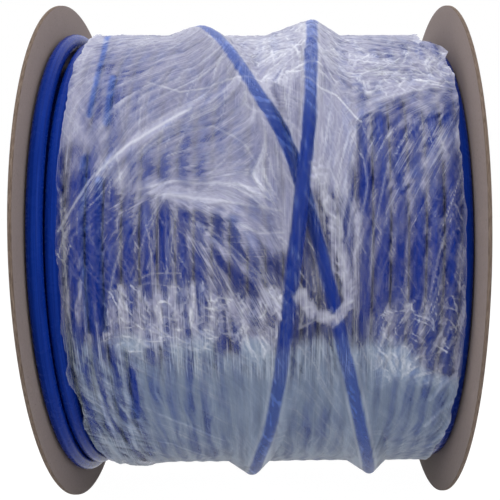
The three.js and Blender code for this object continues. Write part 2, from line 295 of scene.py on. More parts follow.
for side, hand in [("left", -1), ("right", 1)]:
    edge = [
        (FLANGE_INNER_X, FLANGE_HOLE_R, 0.0001),
        (FLANGE_INNER_X, FLANGE_R, EDGE_ROUND),
        (FLANGE_OUTER_X, FLANGE_R, EDGE_ROUND),
        (FLANGE_OUTER_X, FLANGE_HOLE_R, 0.0001),
    ]
    outline = [(hand * x, r) for x, r in rounded(edge)][::hand]
    disc = turned(side + "_board_flange", outline, FLANGE_SEGMENTS, grey_board)
    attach(disc, "root")
    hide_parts(side + "_flange")

# ---- Core: barrel, plugs, arbor tube ----
# A spiral-wound paper barrel between two fibreboard plugs, which a smaller paper tube joins.
# Glue and staples hold them. Only the small tube shows, through the spindle bore.
SPIRAL_LEAD = 0.075  # how far the paper strip moves along in one turn


def dressed(node, material):
    """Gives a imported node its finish. Its shape stays."""
    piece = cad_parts[node]
    for slot in piece.material_slots:
        slot.material = material


kraft_paper = new_material("kraft_paper")
place = where_on_piece()
parts = add_node("SeparateXYZ", _0=place).outputs
turn = maths("DIVIDE", maths("ARCTAN2", parts[2], parts[1]), 2 * math.pi)
wound = plus(maths("DIVIDE", parts[0], SPIRAL_LEAD), turn)
strip = maths("FRACT", wound)
seam = maths("ABSOLUTE", maths("SUBTRACT", strip, 0.5))
in_seam = spread(seam, 0.0, 0.012, 1.0, 0.0)
fibres = noise(place, 500, 6, 0.7, 1.5)
clouds = noise(place, 40, 3)
shade = stained((0.25, 0.155, 0.085, 1), [
    (fibres, 0.3, 0.7, 1, (0.37, 0.25, 0.15, 1)),
    (clouds, 0.4, 0.7, 0.4, (0.3, 0.21, 0.13, 1)),
])
shade = blend_of(in_seam, shade, (0.1, 0.06, 0.035, 1))
rise = maths("SUBTRACT", times(fibres, 0.3), in_seam)
surfaced(shade, 0.82, rise, 0.0003, shine=0.3)
dressed("core_barrel", kraft_paper)
dressed("arbor_tube", kraft_paper)

fibreboard = new_material("fibreboard")
place = where_on_piece()
chips = add_node("TexVoronoi", Vector=place, Scale=420, Randomness=1).outputs["Distance"]
fibres = noise(place, 900, 5, 0.7)
shade = stained((0.42, 0.28, 0.16, 1), [
    (chips, 0.1, 0.8, 1, (0.27, 0.17, 0.09, 1)),
    (fibres, 0.4, 0.65, 0.5, (0.5, 0.36, 0.22, 1)),
])
surfaced(shade, 0.85, fibres, 0.0003, 0.7)
dressed("left_core_plug", fibreboard)
dressed("right_core_plug", fibreboard)

# ---- Bushes ----
# A moulded black plastic bush in each flange lines the spindle bore. Its spigot is pushed into the
# paper tube, and its collar, with a ribbed recess, lies on the flange's outer face.
BUSH_BORE_R = 0.0255
BUSH_SPIGOT_R = 0.029
BUSH_COLLAR_R = 0.04
BUSH_SPIGOT_END_X = 0.087
COLLAR_UNDER_X = 0.1093
COLLAR_FACE_X = 0.1118
RECESS_FROM_R = 0.0305
RECESS_TO_R = 0.0375
RECESS_DEPTH = 0.0013
BUSH_SEGMENTS = 160
BUSH_RIBS = 16
BUSH_RIB_T = 0.0011
BUSH_RIB_INTO = 0.0002  # how far a rib reaches into the walls of the recess
BUSH_RIB_ROUND = 0.0003


def new_tree(name, inputs):
    """A Geometry Nodes tree with a named input for each size."""
    tree = bpy.data.node_groups.new(name, "GeometryNodeTree")
    kinds = {int: "NodeSocketInt", float: "NodeSocketFloat"}
    tree.interface.new_socket("Geometry", in_out="INPUT", socket_type="NodeSocketGeometry")
    for label, value in inputs.items():
        kind = kinds.get(type(value), "NodeSocketMaterial")
        tree.interface.new_socket(label, in_out="INPUT", socket_type=kind)
    tree.interface.new_socket("Geometry", in_out="OUTPUT", socket_type="NodeSocketGeometry")
    return tree, tree.nodes.new("NodeGroupInput").outputs


def step(tree, kind, *inputs, **settings):
    """Adds one node to a Geometry Nodes tree, its inputs given in their order, None to skip."""
    made = tree.nodes.new(kind)
    for name, value in settings.items():
        setattr(made, name, value)
    for socket, value in zip([s for s in made.inputs if s.enabled], inputs):
        if isinstance(value, bpy.types.NodeSocket):
            tree.links.new(value, socket)
        elif value is not None:
            socket.default_value = value
    return next(s for s in made.outputs if s.enabled)


def count(tree, operation, a, b=None, c=None):
    return step(tree, "ShaderNodeMath", a, b, c, operation=operation)


def close_tree(tree, result, material):
    """Ends a tree in real geometry with its material on it."""
    real = step(tree, "GeometryNodeRealizeInstances", result)
    shown = step(tree, "GeometryNodeSetMaterial", real, None, material)
    tree.links.new(shown, tree.nodes.new("NodeGroupOutput").inputs[0])


def grown(name, base, tree, inputs):
    """Runs a tree on a base piece once, and returns the plain mesh as a new piece."""
    modifier = base.modifiers.new("grow", "NODES")
    modifier.node_group = tree
    for item in tree.interface.items_tree:
        if item.in_out == "INPUT" and item.name in inputs:
            modifier[item.identifier] = inputs[item.name]
    ready = base.evaluated_get(bpy.context.evaluated_depsgraph_get())
    mesh = bpy.data.meshes.new_from_object(ready)
    mesh.name = name
    base.modifiers.remove(modifier)
    bpy.data.objects.remove(base)
    return add_piece(name, mesh)


def ring_tree(name, inputs):
    """Copies a shape round the reel's axis, each a whole share of a turn on."""
    tree, given = new_tree(name, inputs)
    points = step(tree, "GeometryNodePoints", given["Count"])
    number = step(tree, "GeometryNodeInputIndex")
    share = count(tree, "DIVIDE", count(tree, "ADD", number, 0.5), given["Count"])
    turn = step(tree, "ShaderNodeCombineXYZ", count(tree, "MULTIPLY", share, 2 * math.pi))
    shape = given["Geometry"]
    copies = step(tree, "GeometryNodeInstanceOnPoints", points, None, shape, None, None, turn)
    close_tree(tree, copies, given["Material"])
    return tree


bush_plastic = new_material("bush_plastic")
place = where_on_piece()
texture = noise(place, 1400, 4, 0.6)
flow = noise(place, 45, 3, 0.5, 1.2)
shade = stained((0.018, 0.019, 0.022, 1), [(flow, 0.35, 0.7, 1, (0.032, 0.033, 0.037, 1))])
surfaced(shade, spread(flow, 0.3, 0.7, 0.34, 0.5), texture, 0.00005, 0.5)

rib_inputs = {"Count": BUSH_RIBS, "Material": bush_plastic}
rib_tree = ring_tree("bush_ribs", rib_inputs)
for side, hand in [("left", -1), ("right", 1)]:
    recess_x = COLLAR_FACE_X - RECESS_DEPTH
    edge = [
        (BUSH_SPIGOT_END_X, BUSH_BORE_R, 0.0004),
        (BUSH_SPIGOT_END_X, BUSH_SPIGOT_R, 0.0008),
        (COLLAR_UNDER_X, BUSH_SPIGOT_R, 0),
        (COLLAR_UNDER_X, BUSH_COLLAR_R, 0.0004),
        (COLLAR_FACE_X, BUSH_COLLAR_R, 0.0009),
        (COLLAR_FACE_X, RECESS_TO_R, 0.0003),
        (recess_x, RECESS_TO_R, 0.0003),
        (recess_x, RECESS_FROM_R, 0.0003),
        (COLLAR_FACE_X, RECESS_FROM_R, 0.0003),
        (COLLAR_FACE_X, BUSH_BORE_R, 0.0012),
    ]
    outline = [(hand * x, r) for x, r in rounded(edge, 4)][::hand]
    bush = turned(side + "_bush", outline, BUSH_SEGMENTS, bush_plastic)
    half = BUSH_RIB_T / 2
    low, high = recess_x - BUSH_RIB_INTO, COLLAR_FACE_X - BUSH_RIB_ROUND
    section = [(low, half), (high, half), (COLLAR_FACE_X, half / 2)]
    section = [(x, -y) for x, y in section] + section[::-1]
    ring = []
    for r in (RECESS_FROM_R - BUSH_RIB_INTO, RECESS_TO_R + BUSH_RIB_INTO):
        ring += [(hand * x, y * hand, r) for x, y in section]
    sides = [(k, (k + 1) % 6, 6 + (k + 1) % 6, 6 + k) for k in range(6)]
    rib = add_mesh("rib", ring, sides + [(5, 4, 3, 2, 1, 0), (6, 7, 8, 9, 10, 11)], bush_plastic)
    ribs = grown(side + "_bush_ribs", rib, rib_tree, rib_inputs)
    ribs.data.polygons.foreach_set("use_smooth", [False] * len(ribs.data.polygons))
    for piece in (bush, ribs):
        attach(piece, "root")
        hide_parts(side + "_arbor_bush")

# ---- Staples and pins ----
# Six wire staples through each flange into its plug, driven until the crown presses on the board,
# and four headed steel pins that hold the barrel on each plug, under the line.
STAPLE_CIRCLE_R = 0.056
STAPLE_HALF = 0.006
STAPLE_CROWN_X = 0.1099
STAPLE_LEG_X = 0.0963
STAPLE_BEND_R = 0.0011
STAPLE_WIRE = 0.0012
STAPLE_SIDES = 12
STAPLE_SQUARENESS = 0.6  # 1 for round wire, towards 0 for square
STAPLES = 6
PINS = 4


def circle(sides, start=0.0):
    around = np.linspace(0, 2 * math.pi, sides, endpoint=False) + start
    return np.stack([np.cos(around), np.sin(around)], 1)


def rings_along(centres, outlines, up):
    """Rings of points round a line, each outline (across, up) turned to face along it."""
    centres = np.asarray(centres, float)
    ahead = np.gradient(centres, axis=0)
    ahead /= np.linalg.norm(ahead, axis=1)[:, None]
    rings = []
    for here, along, outline in zip(centres, ahead, outlines):
        up = up - along * (up @ along)
        up = up / np.linalg.norm(up)
        across = np.cross(along, up)
        rings.append(here + outline[:, :1] * across + outline[:, 1:] * up)
    return np.array(rings)


def drawn_out(name, rings, material):
    """A closed skin over rings of points, with a flat end on the first and last."""
    many, sides = rings.shape[:2]
    faces = [tuple(reversed(range(sides))), tuple(range((many - 1) * sides, many * sides))]
    for i in range(many - 1):
        for j in range(sides):
            k = (j + 1) % sides
            faces.append((i * sides + j, i * sides + k, i * sides + sides + k, i * sides + sides + j))
    return add_mesh(name, rings.reshape(-1, 3), faces, material)


staple_steel = new_material("staple_steel")
place = where_on_piece()
marks = noise(place, 2200, 3, 0.6)
tarnish = noise(place, 120, 3)
shade = stained((0.52, 0.52, 0.54, 1), [(tarnish, 0.35, 0.7, 1, (0.36, 0.34, 0.33, 1))])
look = surfaced(shade, spread(tarnish, 0.3, 0.7, 0.28, 0.48), marks, 0.00003)
look.inputs["Metallic"].default_value = 1

staple_inputs = {"Count": STAPLES, "Material": staple_steel}
staple_tree = ring_tree("staple_ring", staple_inputs)
wire = circle(STAPLE_SIDES, math.pi / STAPLE_SIDES)
wire = np.sign(wire) * np.abs(wire) ** STAPLE_SQUARENESS * STAPLE_WIRE / 2
for side, hand in [("left", -1), ("right", 1)]:
    path = [(STAPLE_LEG_X + 0.004 * i, -STAPLE_HALF) for i in range(4)]
    for bend in np.linspace(0, math.pi / 2, 7):
        down, across = STAPLE_BEND_R * (1 - math.sin(bend)), STAPLE_BEND_R * (1 - math.cos(bend))
        path.append((STAPLE_CROWN_X - down, -STAPLE_HALF + across))
    path += [(STAPLE_CROWN_X, y) for y in (-0.003, -0.001)]
    path += [(x, -y) for x, y in reversed(path)]
    centres = [(hand * x, y, STAPLE_CIRCLE_R) for x, y in path]
    rings = rings_along(centres, [wire] * len(centres), np.array([0.0, 0.0, 1.0]))
    staple = drawn_out("staple", rings, staple_steel)
    staples = grown(side + "_staples", staple, staple_tree, staple_inputs)
    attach(staples, "root")
    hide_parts(*[side + "_staple_" + str(i + 1) for i in range(STAPLES)])
    for i in range(PINS):
        dressed(side + "_barrel_pin_" + str(i + 1), staple_steel)

# ---- The line's inner layers ----
# Blue plastic line, 8 mm thick, wound evenly in about six layers. The inner layers are a plain body up
# to the last but one, whose turns lie in the gaps of the turns above.
LINE_R = 0.004
NEXT_PITCH = 0.0085
NEXT_TURNS = 23.0
OUTER_LAYER_R = 0.122
NEXT_LAYER_R = 0.1151
DRUM_R = 0.1135
DRUM_BORE_R = 0.0753
WINDING_HALF = 0.1067
WINDING_END_ANGLE = 100
DRUM_ROUND = 0.003
DRUM_SEGMENTS = 120


def winding_tree(name, inputs):
    """Lays a straight line of points out as turns, and gives it a round section."""
    tree, given = new_tree(name, inputs)
    many = count(tree, "MULTIPLY", given["Turns"], given["Steps a turn"])
    line = step(tree, "GeometryNodeCurvePrimitiveLine", None, (0, 0, 1))
    line = step(tree, "GeometryNodeResampleCurve", line, None, count(tree, "ADD", many, 1))
    along = step(tree, "GeometryNodeSplineParameter")
    left = count(tree, "MULTIPLY", count(tree, "SUBTRACT", 1, along), given["Turns"])
    angle = count(tree, "SUBTRACT", given["End angle"], count(tree, "MULTIPLY", left, 2 * math.pi))
    sway = []
    for other in (0.0, 7.0):
        seat = step(tree, "ShaderNodeCombineXYZ", left, other, given["Seed"])
        drawn = step(tree, "ShaderNodeTexNoise", seat, None, 2.2, 2.0)
        sway.append(count(tree, "MULTIPLY", count(tree, "SUBTRACT", drawn, 0.5), given["Wander"]))
    x = count(tree, "MULTIPLY_ADD", left, given["Pitch"], given["End x"])
    x = count(tree, "MINIMUM", count(tree, "ADD", x, sway[0]), given["Start x"])
    first = count(tree, "SUBTRACT", given["Turns"], left)
    climb = step(tree, "ShaderNodeMapRange", first, 0, given["Climb turns"], given["Climb"], 0)
    r = count(tree, "SUBTRACT", count(tree, "ADD", given["Layer radius"], sway[1]), climb)
    back = count(tree, "MULTIPLY", r, -1)
    y = count(tree, "MULTIPLY", back, count(tree, "COSINE", angle))
    z = count(tree, "MULTIPLY", back, count(tree, "SINE", angle))
    laid = step(tree, "GeometryNodeSetPosition", line, None, step(tree, "ShaderNodeCombineXYZ", x, y, z))
    length = count(tree, "MULTIPLY", left, 2 * math.pi * OUTER_LAYER_R)
    store = "GeometryNodeStoreNamedAttribute"
    laid = step(tree, store, laid, None, "along", length, data_type="FLOAT")
    shape = (given["Sides"], given["Line radius"])
    ring = step(tree, "GeometryNodeCurvePrimitiveCircle", *shape, mode="RADIUS")
    here = step(tree, "GeometryNodeInputPosition")
    ring = step(tree, store, ring, None, "rim", here, data_type="FLOAT_VECTOR")
    tube = step(tree, "GeometryNodeCurveToMesh", laid, ring, None, True)
    close_tree(tree, tube, given["Material"])
    return tree


blue_line = new_material("blue_line")
along = add_node("Attribute", set_attribute_name="along").outputs["Fac"]
rim = add_node("Attribute", set_attribute_name="rim").outputs["Vector"]
ahead = add_node("CombineXYZ", _2=times(along, 8))
drawn = vector_maths("ADD", vector_maths("SCALE", rim, Scale=400), _1=ahead)
die_lines = noise(drawn, 3.0, 3, 0.6)
scuffs = noise(where_on_piece(), 160, 4, 0.65, 1.0)
shade = stained((0.0025, 0.017, 0.175, 1), [(die_lines, 0.3, 0.7, 1, (0.006, 0.034, 0.28, 1))])
rise = plus(die_lines, times(scuffs, 0.4))
rough = spread(scuffs, 0.35, 0.75, 0.2, 0.36)
look = surfaced(shade, rough, rise, 0.00006, 0.6, 0.12)
look.inputs["Specular Tint"].default_value = (0.3, 0.45, 1, 1)

winding_inputs = {
    "Turns": NEXT_TURNS,
    "Steps a turn": 90,
    "Sides": 14,
    "Seed": 3,
    "Layer radius": NEXT_LAYER_R,
    "Pitch": NEXT_PITCH,
    "Line radius": LINE_R,
    "End x": -NEXT_TURNS / 2 * NEXT_PITCH,
    "Start x": NEXT_TURNS / 2 * NEXT_PITCH,
    "End angle": math.radians(WINDING_END_ANGLE),
    "Wander": 0.0003,
    "Climb": 0.0,
    "Climb turns": 0.5,
    "Material": blue_line,
}
turns_tree = winding_tree("turns_of_line", winding_inputs)
seed_mesh = add_mesh("seed", [(0, 0, 0)], [], blue_line)
next_layer = grown("next_layer", seed_mesh, turns_tree, winding_inputs)
edge = [
    (-WINDING_HALF, DRUM_BORE_R, 0),
    (-WINDING_HALF, DRUM_R, DRUM_ROUND),
    (WINDING_HALF, DRUM_R, DRUM_ROUND),
    (WINDING_HALF, DRUM_BORE_R, 0),
]
drum = turned("inner_layers", rounded(edge), DRUM_SEGMENTS, blue_line)
for piece in (next_layer, drum):
    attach(piece, "root")
    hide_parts("inner_winding")

# ---- The line's outer layer ----
# One unbroken length that the winder lays in even turns from the right flange to the left. It climbs
# from the layer below while it runs along the right flange. The last two turns are made with the tail.
PITCH = 0.00857
LAYER_TURNS = 22.72
LAYER_END_X = -0.0865
LAYER_START_X = 0.1026
layer_inputs = winding_inputs | {
    "Turns": LAYER_TURNS,
    "Steps a turn": 120,
    "Sides": 18,
    "Seed": 11,
    "Layer radius": OUTER_LAYER_R,
    "Pitch": PITCH,
    "End x": LAYER_END_X,
    "Start x": LAYER_START_X,
    "Wander": 0.0005,
    "Climb": OUTER_LAYER_R - NEXT_LAYER_R,
    "Climb turns": 0.95,
}
seed_mesh = add_mesh("seed", [(0, 0, 0)], [], blue_line)
layer = grown("outer_layer", seed_mesh, turns_tree, layer_inputs)
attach(layer, "root")
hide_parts("outer_winding")

# ---- The line's last turns and tail ----
# The outer layer's last two turns lie close to the left flange, and the film leaves them bare. The
# tail goes on from them: two loose turns under the film, which wander to the right and come back, so
# that they cross in front. Its end is cut square, under the film at the back.
TAIL_LIFT = 0.0082  # how far the tail lies above the layer
CROSSING_LIFT = 0.0085
TAIL_ROUTE = [
    # angle along the winding, x in mm, how many strands up
    (-620, -86.5, 0), (-540, -88.3, 0), (-450, -92, 0), (-400, -94, 0), (-360, -94.9, 0),
    (-310, -95.1, 0), (-260, -95.3, 0), (-200, -98, 0.15), (-130, -101.4, 0.4), (-60, -102.3, 0.48),
    (0, -102.5, 0.5), (60, -102.5, 0.5), (100, -102.4, 0.52), (112, -102.2, 0.6), (120, -102, 0.85),
    (128, -101, 1), (150, -94, 1), (185, -79, 1), (225, -60, 1), (260, -43, 1), (282, -31, 1),
    (290, -25, 1), (300, -17, 1), (312, -6.5, 1), (321, 2.5, 1), (331, 12.5, 1), (338, 18.5, 1),
    (344, 23.3, 1), (350, 27.5, 1), (358, 32.8, 1), (366, 37.2, 1), (377, 43, 1), (389, 49.4, 1),
    (402, 55.2, 1), (415, 60.4, 1), (440, 67, 1), (470, 69.5, 1), (500, 68, 1), (540, 60.5, 1), (580, 50, 1),
    (620, 38, 1.15), (648, 31.4, 1.4), (667, 29.6, 1.45), (681, 28.4, 1.7), (692, 26.8, 1.97),
    (704, 23.6, 2), (716, 20, 1.97), (727, 16.8, 1.6), (743, 12.4, 1.2), (756, 8.2, 1.05),
    (775, 0, 1), (800, -7, 1), (830, -14, 1), (860, -20, 1),
]
LOOSE_FROM = 112  # angle where the tail leaves the layer
TAIL_STEP = 0.8  # degrees
TAIL_SMOOTHING = 5  # steps on each side
TAIL_SIDES = 20
TAIL_CUT = 0.88  # how much the cut draws the end in

route = np.array(TAIL_ROUTE, float)
tail_angle = np.arange(route[0, 0], route[-1, 0] + TAIL_STEP / 2, TAIL_STEP)


def smoothed(values, reach):
    """Averages each value with its neighbours, and keeps the two ends where they are."""
    padded = np.concatenate(
        [2 * values[0] - values[reach:0:-1], values, 2 * values[-1] - values[-2 : -reach - 2 : -1]]
    )
    weights = np.hanning(2 * reach + 3)[1:-1]
    return np.convolve(padded, weights / weights.sum(), "valid")


def store_on(piece, label, values, kind="value"):
    """Writes a number or a vector for each point of a piece, for its material to read."""
    sort = "FLOAT" if kind == "value" else "FLOAT_VECTOR"
    piece.data.attributes.new(label, sort, "POINT").data.foreach_set(kind, values.ravel())


tail_x = smoothed(np.interp(tail_angle, route[:, 0], route[:, 1] / 1000), TAIL_SMOOTHING)
tail_up = smoothed(np.interp(tail_angle, route[:, 0], route[:, 2]), TAIL_SMOOTHING)
tail_r = OUTER_LAYER_R + np.minimum(tail_up, 1) * TAIL_LIFT + np.maximum(tail_up - 1, 0) * CROSSING_LIFT
tail_line = on_reel(tail_angle, tail_x, tail_r)
strand = LINE_R * circle(TAIL_SIDES)
outlines = np.repeat(strand[None], len(tail_line), 0)
outlines[-1] *= TAIL_CUT
tail_rings = rings_along(tail_line, outlines, np.array([0.0, 0.0, -1.0]))
tail = drawn_out("tail_of_line", tail_rings, blue_line)
lengths = np.linalg.norm(np.diff(tail_line, axis=0), axis=1)
so_far = np.concatenate([[0], np.cumsum(lengths)])
strand_rim = np.concatenate([strand, np.zeros((TAIL_SIDES, 1))], 1)
store_on(tail, "along", np.repeat(so_far, TAIL_SIDES))
store_on(tail, "rim", np.tile(strand_rim, (len(tail_line), 1)), "vector")
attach(tail, "root")
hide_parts("line_tail")

# ---- The film ----
# Clear stretch film wound tightly round the line by hand, several layers that cling together. It
# stands up in tents over the tail, and is drawn into sharp creases that run out from where it is held.
FILM_R = 0.12615  # on the crests of the turns
FILM_GIRTH = 2 * math.pi * FILM_R
FILM_FRONT = (-104, 104)  # angles where the front piece meets the back piece
NOISE_COLUMNS = 64
FILM_COLUMNS = 283
FILM_FRONT_ROWS = 693
FILM_BACK_ROWS = 347
FILM_LEFT_EDGE = [
    (-104, -90), (-79, -90), (-62, -89.5), (-52, -90.5), (-34, -91), (-28, -92), (-11, -92),
    (7, -91.5), (13, -92), (21, -91.5), (24, -92.5), (27, -92), (30, -90), (32, -88.5), (37, -88.5),
    (43, -90), (50, -89), (56, -87), (63, -83), (75, -83), (90, -86), (104, -88), (130, -91),
    (160, -88), (190, -91), (220, -92), (256, -90),
]
FILM_RIGHT_EDGE = [
    (-104, 96), (-80, 92), (-67, 90), (-63, 98), (-58, 102), (-55, 100), (-51, 99.5), (-47, 102),
    (-41, 101), (-36, 101), (-26, 100), (-14, 101), (7, 102), (14, 102), (25, 102), (32, 102),
    (41, 101), (49, 100), (53, 98), (60, 99), (73, 99), (90, 97), (110, 100), (140, 98), (170, 101),
    (200, 99), (230, 101), (256, 96),
]
front_angles = np.linspace(*FILM_FRONT, FILM_FRONT_ROWS)
back_angles = np.linspace(FILM_FRONT[1], FILM_FRONT[0] + 360, FILM_BACK_ROWS + 1)[1:-1]
row_angle = np.concatenate([front_angles, back_angles])
row_s = np.radians(row_angle) * FILM_R


def eased(t):
    return t * t * (3 - 2 * t)


def read_table(table, u, v, ease=None):
    """A table's value at places between its cells. It closes on itself both ways."""
    low_u, low_v = np.floor(u).astype(int), np.floor(v).astype(int)
    part_u, part_v = u - low_u, v - low_v
    if ease:
        part_u, part_v = ease(part_u), ease(part_v)
    rows, columns = table.shape
    made = 0
    for i, weight_v in ((0, 1 - part_v), (1, part_v)):
        for j, weight_u in ((0, 1 - part_u), (1, part_u)):
            made = made + weight_v * weight_u * table[(low_v + i) % rows, (low_u + j) % columns]
    return made


def film_noise(x, s, cell_x, cell_s, slant, seed):
    """Smooth noise from -1 to 1 on the unrolled film, which closes on itself round the reel."""
    around = max(4, round(FILM_GIRTH / cell_s))
    table = np.random.default_rng(seed).uniform(-1, 1, (around, NOISE_COLUMNS))
    turns = round(slant * FILM_GIRTH / (NOISE_COLUMNS * cell_x))
    u = x / cell_x + turns * NOISE_COLUMNS * s / FILM_GIRTH
    return read_table(table, u, s / FILM_GIRTH * around, eased)


def edge_line(points, seed):
    angles, places = np.array(points, float).T
    line = np.interp(row_angle, angles, places / 1000)
    line += 0.0007 * film_noise(0 * row_s, row_s, 1, 0.009, 0, seed)
    return line + 0.0004 * film_noise(0 * row_s, row_s, 1, 0.003, 0, seed + 1)


left_edge = edge_line(FILM_LEFT_EDGE, 51)
right_edge = edge_line(FILM_RIGHT_EDGE, 61)
share = np.linspace(0, 1, FILM_COLUMNS)
film_x = left_edge[:, None] + (right_edge - left_edge)[:, None] * share
film_s = np.repeat(row_s[:, None], FILM_COLUMNS, 1)
film_angle = np.repeat(row_angle[:, None], FILM_COLUMNS, 1)


def between(value, low, high):
    """0 below low, 1 above high, smooth between. Turned round if low is above high."""
    return eased(np.clip((value - low) / (high - low), 0, 1))


# How the tail lifts the film: it touches the top of the strand and falls away in a tent, gently on
# the left and steeply on the right, and more steeply at the bottom. The film is loose over the top.
LEFT_SLOPE, RIGHT_SLOPE = 0.33, 0.62
STEEPER = 0.35
FILM_SLACK = 0.0026
SLACK_ANGLE = 280
FILM_GAP = 0.00015
PAST_THE_END = 30  # degrees in which the tent of the tail's end runs out
tail_top = tail_r + LINE_R + FILM_GAP


def over_the_tail(x, s):
    """For rows of points of the film: its radius, its distance from the tail and the tail's tilt."""
    angles = np.degrees(s[:, 0] / FILM_R)
    slack = FILM_SLACK * np.maximum(0, np.cos(np.radians(angles - SLACK_ANGLE))) ** 2
    steeper = STEEPER * np.maximum(0, np.sin(np.radians(angles)))[:, None]
    lifted = FILM_R + slack[:, None] + 0 * x
    nearest = np.full_like(x, 1.0)
    tilted = np.zeros_like(x)
    sway = film_noise(x, s, 0.03, 0.05, 0, 71)
    for turn in (0, 1, 2):
        angle = angles + 360 * turn
        inside = ((angle >= LOOSE_FROM) & (angle <= tail_angle[-1] + PAST_THE_END))[:, None]
        x_here = np.interp(angle, tail_angle, tail_x)
        beyond = np.maximum(0, np.radians(angle - tail_angle[-1]) * FILM_R)
        top_here = np.interp(angle, tail_angle, tail_top) - 0.35 * beyond
        tilt = np.arctan(np.gradient(x_here, s[:, 0]))
        away = (x - x_here[:, None]) * np.cos(tilt)[:, None]
        slope = (np.where(away > 0, RIGHT_SLOPE, LEFT_SLOPE) + steeper) * (1 + 0.08 * sway)
        held = LINE_R * slope / np.sqrt(1 + slope**2)
        reach = np.abs(away)
        crown = np.sqrt(np.maximum(LINE_R**2 - np.minimum(reach, held) ** 2, 0)) - LINE_R
        flank = top_here[:, None] + crown - slope * np.maximum(0, reach - held)
        lifted = np.where(inside, np.maximum(lifted, flank), lifted)
        reach = reach + 50 * beyond[:, None]
        closer = inside & (reach < nearest)
        nearest = np.where(closer, reach, nearest)
        tilted = np.where(closer, tilt[:, None], tilted)
    return lifted, nearest, tilted


film_r, to_tail, _ = over_the_tail(film_x, film_s)
sway = film_noise(film_x, film_s, 0.03, 0.05, 0, 71)
tented = np.clip((film_r - FILM_R) / 0.004, 0, 1)

# The film's creases and haze are worked out on an even grid of the unrolled film.
FIELD_CELL = 0.0006
FIELD_FROM_X = -0.097
FIELD_COLUMNS = 338
LAY_REACH = 0.0075  # how far the creases follow the tail
TENT_REACH = 0.016  # how far the film stands off the turns beside the tail
field_rows = round(FILM_GIRTH / FIELD_CELL)
field_x = FIELD_FROM_X + FIELD_CELL * np.arange(FIELD_COLUMNS)[None, :] + np.zeros((field_rows, 1))
field_s = row_s[0] + FILM_GIRTH / field_rows * np.arange(field_rows)[:, None] + 0 * field_x
field_angle = np.degrees(field_s / FILM_R)


def field_noise(cell_x, cell_s, slant, seed):
    return film_noise(field_x, field_s, cell_x, cell_s, slant, seed)


ragged_x = 5 * field_noise(0.012, 0.02, 0, 74)
ragged_angle = 2.5 * field_noise(0.012, 0.012, 0, 75)


def area(x_from, x_to, angle_from, angle_to, soft_x=6, soft_angle=3):
    """1 inside a patch of the film, in mm and degrees, and 0 outside it, with a ragged border."""
    x = field_x * 1000 + ragged_x
    angle = field_angle + ragged_angle
    inside = between(x, x_from - soft_x, x_from + soft_x) * between(x, x_to + soft_x, x_to - soft_x)
    low = between(angle, angle_from - soft_angle, angle_from + soft_angle)
    return inside * low * between(angle, angle_to + soft_angle, angle_to - soft_angle)


_, field_to_tail, field_tilt = over_the_tail(field_x, field_s)
by_tail = np.exp(-((field_to_tail / LAY_REACH) ** 2))


def lay(wander, guides, seed, cell=0.028, along_tail=0.0):
    """The way the creases run, as double angles: along each guide, or away from the point it marks.

    A way is in degrees off the way the line is wound, and a rising stroke is below zero.
    """
    way = np.radians(wander * field_noise(cell, 1.6 * cell, 0, seed))
    level, slant = np.cos(2 * way), np.sin(2 * way)
    for x, angle, lean, weight, reach, *above in guides:
        off_x = field_x - x / 1000
        off_s = (field_s - math.radians(angle) * FILM_R + FILM_GIRTH / 2) % FILM_GIRTH - FILM_GIRTH / 2
        here = np.arctan2(off_x, off_s) if lean is None else math.radians(lean)
        pull = weight * np.exp(-(off_x**2 + off_s**2) / (reach / 1000) ** 2)
        if above:
            pull *= between(above[0] * off_s, 0.004, -0.02)
        level += pull * np.cos(2 * (here + way))
        slant += pull * np.sin(2 * (here + way))
    level += along_tail * by_tail * np.cos(2 * field_tilt)
    slant += along_tail * by_tail * np.sin(2 * field_tilt)
    size = np.hypot(level, slant) + 1e-9
    return level / size, slant / size


def swung(lay_here, degrees):
    """The same lay, turned by some degrees that may differ from place to place."""
    turn = np.arctan2(lay_here[1], lay_here[0]) + 2 * np.radians(degrees)
    return np.cos(turn), np.sin(turn)


def softened(field, reach):
    """Blurs a field by about reach cells, closed round the reel."""
    for _ in range(reach):
        field = (np.roll(field, 1, 0) + 2 * field + np.roll(field, -1, 0)) / 4
        field = (np.roll(field, 1, 1) + 2 * field + np.roll(field, -1, 1)) / 4
    return field


def streaks(way, reach, width, seed, keep=1.0):
    """Draws specks out along the lay into streaks. keep is the share of the specks that are drawn."""
    half = np.arctan2(way[1], way[0]) / 2
    way_x, way_s = np.sin(half), np.cos(half)
    draw = np.random.default_rng(seed).uniform(0, 1, field_x.shape)
    specks = softened(np.where(draw < keep, draw / keep, 0), width)
    total = specks.copy()
    steps = round(reach / FIELD_CELL)
    for hand in (1, -1):
        row, column = np.indices(field_x.shape).astype(float)
        go_x, go_s = hand * way_x, hand * way_s
        for k in range(1, steps):
            row += go_s
            column += go_x
            r = np.rint(row).astype(int) % field_rows
            c = np.clip(np.rint(column).astype(int), 0, FIELD_COLUMNS - 1)
            total += math.cos(math.pi * k / steps / 2) ** 2 * specks[r, c]
            turn = np.sign(way_x[r, c] * go_x + way_s[r, c] * go_s)
            go_x, go_s = turn * way_x[r, c], turn * way_s[r, c]
    if keep < 1:
        return np.clip(total / np.quantile(total, 0.992), 0, 1)
    return (total - total.mean()) / total.std()


